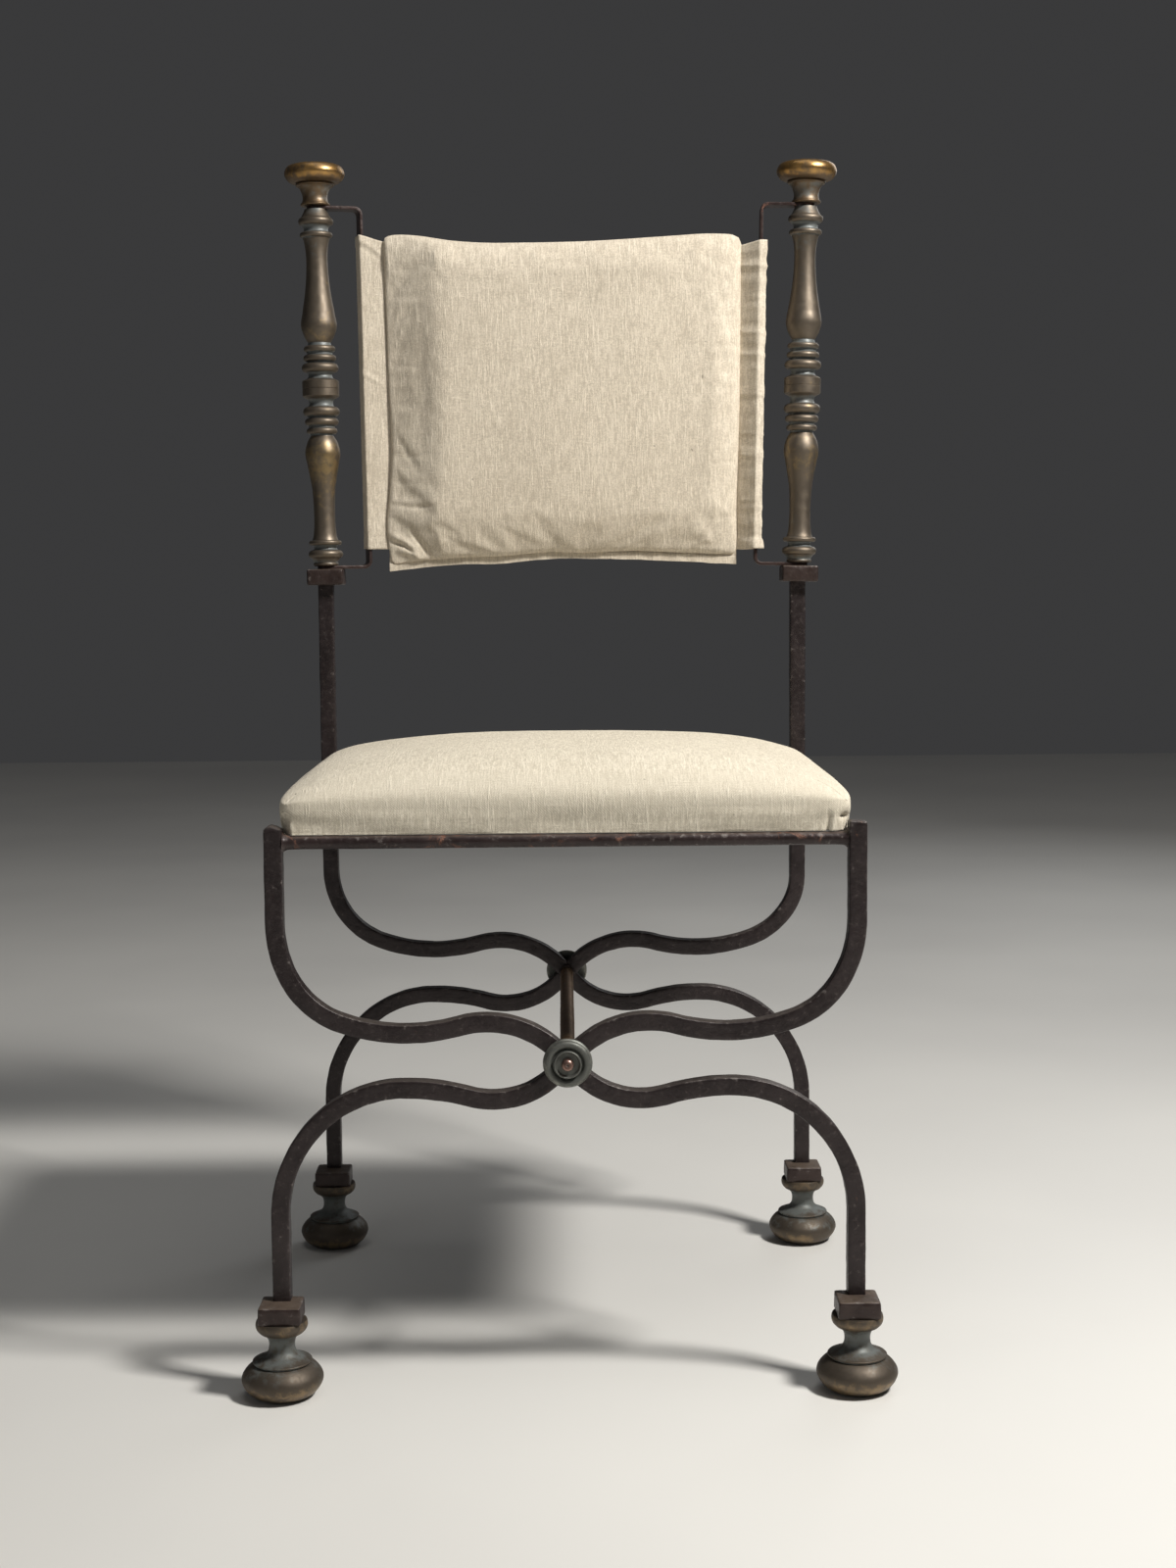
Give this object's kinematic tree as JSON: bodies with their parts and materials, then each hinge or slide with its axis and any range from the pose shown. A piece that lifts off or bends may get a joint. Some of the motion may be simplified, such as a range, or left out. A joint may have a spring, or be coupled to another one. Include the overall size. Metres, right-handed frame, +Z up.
{
  "type": "chair",
  "caption": "Curule side chair of crossed wrought-iron bars with turned brass feet and posts, a drop-in linen seat and a linen back held on flat straps",
  "frame": {"origin": "on the floor under the middle of the whole chair, front to back and side to side", "axes": "+X to the right seen from the front, the sitter faces -Y, +Z up"},
  "size_m": [0.5114, 0.4584, 1.0134],
  "materials": {
    "wrought_iron": "forged, waxed, dark brown black",
    "aged_brass": "satin, brown and grey-green patina in the hollows",
    "brown_brass": "satin, dark brown patina",
    "copper": "satin",
    "linen": "matte plain-weave natural linen",
    "board": "bare plywood",
    "stuffing": "matte",
    "dust_cloth": "matte"
  },
  "bodies": {
    "frame": {"front_leg_bar_left": "wrought_iron", "front_leg_bar_right": "wrought_iron", "rear_leg_bar_left": "wrought_iron", "rear_leg_bar_right": "wrought_iron", "seat_rail_front": "wrought_iron", "seat_rail_rear": "wrought_iron", "seat_rail_left": "wrought_iron", "seat_rail_right": "wrought_iron", "stretcher_collar_front": "wrought_iron", "stretcher_collar_rear": "wrought_iron", "tie_rod": "wrought_iron", "post_rod_left": "wrought_iron", "post_rod_right": "wrought_iron", "post_block_left": "wrought_iron", "post_block_right": "wrought_iron", "back_strap_left": "wrought_iron", "back_strap_right": "wrought_iron", "foot_block_front_left": "wrought_iron", "foot_block_front_right": "wrought_iron", "foot_block_rear_left": "wrought_iron", "foot_block_rear_right": "wrought_iron", "foot_front_left": "aged_brass", "foot_front_right": "aged_brass", "foot_rear_left": "aged_brass", "foot_rear_right": "aged_brass", "baluster_lower_left": "aged_brass", "baluster_lower_right": "aged_brass", "baluster_upper_left": "aged_brass", "baluster_upper_right": "aged_brass", "finial_left": "aged_brass", "finial_right": "aged_brass", "front_boss": "aged_brass", "rear_boss": "aged_brass", "stretcher_tube": "brown_brass", "dome_nut_front": "copper", "dome_nut_rear": "copper"},
    "seat": {"seat_board": "board", "seat_stuffing": "stuffing", "seat_cover": "linen", "seat_dust_cloth": "dust_cloth"},
    "back": {"back_cushion": "linen", "back_panel": "linen", "back_sleeve_left": "linen", "back_sleeve_right": "linen"}
  },
  "joints": [
    {"name": "seat_lift", "type": "slide", "parent": "frame", "child": "seat", "axis": [0, 0, 1], "range_m": [0, 0.12]},
    {"name": "back_panel_slide", "type": "slide", "parent": "frame", "child": "back", "axis": [0, 0, 1], "range_m": [-0.009, 0.014]}
  ]
}
